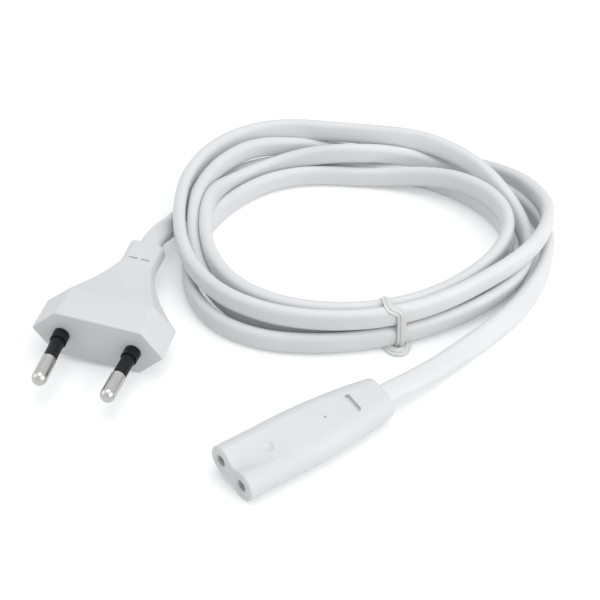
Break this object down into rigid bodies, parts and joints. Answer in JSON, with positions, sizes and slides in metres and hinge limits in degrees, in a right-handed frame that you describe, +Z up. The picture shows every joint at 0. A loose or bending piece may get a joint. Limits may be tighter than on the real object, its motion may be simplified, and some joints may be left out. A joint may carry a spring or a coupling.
{
  "type": "mains power lead",
  "caption": "Flat white mains lead in a tied coil, with a figure-eight appliance connector at one end and a flat two-pin plug with round sleeved pins at the other.",
  "frame": {"origin": "under the middle of the connector, on the surface that the lead lies on", "axes": "+Y from the connector's nose to its cord, +Z up, +X to the right seen from behind the connector"},
  "size_m": [0.1197, 0.1544, 0.0155],
  "materials": {
    "white_overmould": "satin moulded PVC",
    "white_cord": "satin PVC sheath",
    "white_tie": "soft plastic, slightly glossy",
    "black_sleeve": "satin moulded insulation",
    "black_insert": "moulded insert",
    "grey_insert": "moulded insert",
    "nickel_pin": "nickel-plated brass",
    "brass_contact": "rolled brass strip",
    "brown_insulation": "core insulation",
    "blue_insulation": "core insulation",
    "copper_strand": "bare copper strands"
  },
  "bodies": {
    "root": {"connector_body": "white_overmould", "contact_carrier": "grey_insert", "contact_left": "brass_contact", "contact_right": "brass_contact", "core_left_connector": "brown_insulation", "core_right_connector": "blue_insulation", "strand_left_connector": "copper_strand", "strand_right_connector": "copper_strand", "cord_connector_lead": "white_cord", "cord_coil": "white_cord", "cord_plug_lead": "white_cord", "cord_tie": "white_tie", "plug_body": "white_overmould", "plug_bridge": "black_insert", "pin_left": "nickel_pin", "pin_right": "nickel_pin", "sleeve_left": "black_sleeve", "sleeve_right": "black_sleeve", "core_left_plug": "brown_insulation", "core_right_plug": "blue_insulation", "strand_left_plug": "copper_strand", "strand_right_plug": "copper_strand"}
  },
  "joints": []
}
